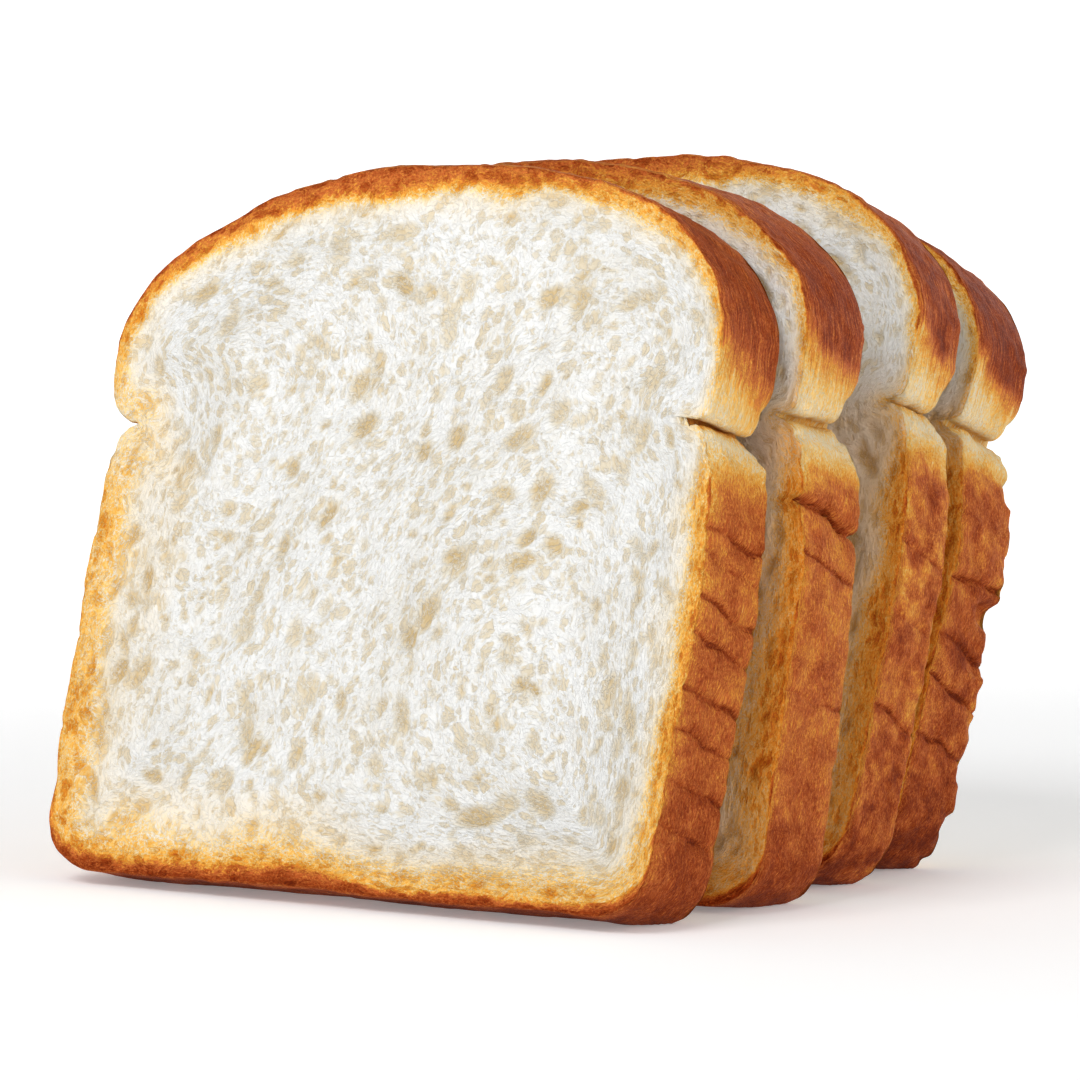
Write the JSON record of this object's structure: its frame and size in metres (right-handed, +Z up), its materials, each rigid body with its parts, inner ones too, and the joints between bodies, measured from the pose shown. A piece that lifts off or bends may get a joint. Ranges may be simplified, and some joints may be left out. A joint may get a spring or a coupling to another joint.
{
  "type": "sliced tin loaf",
  "caption": "Standing row of thick white tin loaf slices with a domed, notched crust, each leaning back on its bottom crust.",
  "frame": {"origin": "middle of the row's box, on the surface that the slices stand on", "axes": "+X across the slices to the right of the first cut face, +Y from the first slice to the last, +Z up; the first cut face looks to -Y"},
  "size_m": [0.1358, 0.1294, 0.1237],
  "materials": {
    "bread": "matt open white crumb inside a thin golden to dark brown baked crust"
  },
  "bodies": {
    "root": {"slice_1": "bread", "slice_2": "bread", "slice_3": "bread", "slice_4": "bread"}
  },
  "joints": []
}
